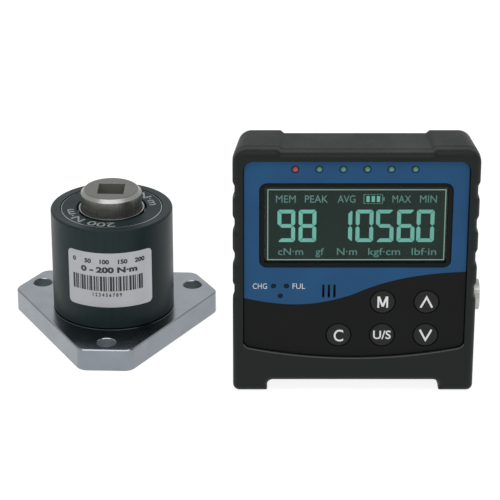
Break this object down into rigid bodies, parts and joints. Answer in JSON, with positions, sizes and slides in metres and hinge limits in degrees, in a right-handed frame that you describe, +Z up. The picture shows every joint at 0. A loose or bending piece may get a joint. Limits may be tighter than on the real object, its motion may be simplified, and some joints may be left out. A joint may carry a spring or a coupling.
{
  "type": "torque wrench calibrator",
  "caption": "Torque wrench calibrator set: a flanged torque transducer with a square drive socket, and a display meter with round push keys.",
  "frame": {"origin": "middle of the whole set's footprint, on the surface it stands on", "axes": "+X to the right along the set, from the transducer to the meter; -Y towards the user, the way the display faces; +Z up"},
  "size_m": [0.2264, 0.111, 0.1238],
  "materials": {
    "plated_steel": "bright plated, lightly satin",
    "black_anodised": "satin black anodised",
    "brushed_steel": "turned and brushed",
    "pale_ring": "satin",
    "bearing_steel": "ground",
    "rubber": "matt",
    "gauge_foil": "thin film",
    "board_green": "solder mask",
    "dark_steel": "blackened",
    "socket_metal": "satin nickel",
    "socket_black": "moulded",
    "case_black": "fine moulded texture",
    "panel_print": "printed film, blue over black",
    "clear_window": "clear with a dark border",
    "display_glass": "dark display field",
    "backlight_white": "satin",
    "red_lens": "clear tinted",
    "green_lens": "clear tinted",
    "dark_lens": "smoked",
    "key_black": "satin",
    "switch_grey": "moulded",
    "chip_black": "moulded",
    "battery_wrap": "shrink wrap"
  },
  "bodies": {
    "calibrator": {"flange_base": "plated_steel", "body_sleeve": "black_anodised", "top_cap": "black_anodised", "torque_shaft": "brushed_steel", "spacer_ring": "pale_ring", "bearing_inner_ring": "bearing_steel", "bearing_outer_ring": "bearing_steel", "bearing_cage": "bearing_steel", "base_seal": "rubber", "strain_gauge_left": "gauge_foil", "strain_gauge_right": "gauge_foil", "terminal_board": "board_green", "main_board": "board_green", "shaft_bolt_1": "dark_steel", "shaft_bolt_2": "dark_steel", "shaft_bolt_3": "dark_steel", "shaft_bolt_4": "dark_steel", "sleeve_screw_1": "dark_steel", "sleeve_screw_2": "dark_steel", "case_screw_1": "dark_steel", "case_screw_2": "dark_steel", "case_screw_3": "dark_steel", "case_screw_4": "dark_steel", "board_screw_1": "dark_steel", "board_screw_2": "dark_steel", "sensor_socket_shell": "socket_metal", "sensor_socket_nut": "socket_metal", "meter_socket_shell": "socket_metal", "meter_socket_nut": "socket_metal", "sensor_socket_insert": "socket_black", "meter_socket_insert": "socket_black", "charge_jack": "socket_black", "front_shell": "case_black", "rear_shell": "case_black", "front_panel": "panel_print", "display_window": "clear_window", "lcd_glass": "display_glass", "lcd_backlight": "backlight_white", "lamp_1": "red_lens", "lamp_2": "green_lens", "lamp_3": "green_lens", "lamp_4": "green_lens", "lamp_5": "green_lens", "lamp_6": "green_lens", "lamp_charging": "dark_lens", "lamp_full": "dark_lens", "lamp_power": "dark_lens", "switch_memory": "switch_grey", "switch_up": "switch_grey", "switch_clear": "switch_grey", "switch_unit": "switch_grey", "switch_down": "switch_grey", "buzzer": "chip_black", "battery_pack": "battery_wrap"},
    "button_memory": {"button_memory": "key_black"},
    "button_up": {"button_up": "key_black"},
    "button_clear": {"button_clear": "key_black"},
    "button_unit": {"button_unit": "key_black"},
    "button_down": {"button_down": "key_black"}
  },
  "joints": [
    {"name": "button_memory_press", "type": "slide", "parent": "calibrator", "child": "button_memory", "axis": [0, 1, 0], "range_m": [0, 0.0007], "stiffness_N_per_m": 600},
    {"name": "button_up_press", "type": "slide", "parent": "calibrator", "child": "button_up", "axis": [0, 1, 0], "range_m": [0, 0.0007], "stiffness_N_per_m": 600},
    {"name": "button_clear_press", "type": "slide", "parent": "calibrator", "child": "button_clear", "axis": [0, 1, 0], "range_m": [0, 0.0007], "stiffness_N_per_m": 600},
    {"name": "button_unit_press", "type": "slide", "parent": "calibrator", "child": "button_unit", "axis": [0, 1, 0], "range_m": [0, 0.0007], "stiffness_N_per_m": 600},
    {"name": "button_down_press", "type": "slide", "parent": "calibrator", "child": "button_down", "axis": [0, 1, 0], "range_m": [0, 0.0007], "stiffness_N_per_m": 600}
  ]
}
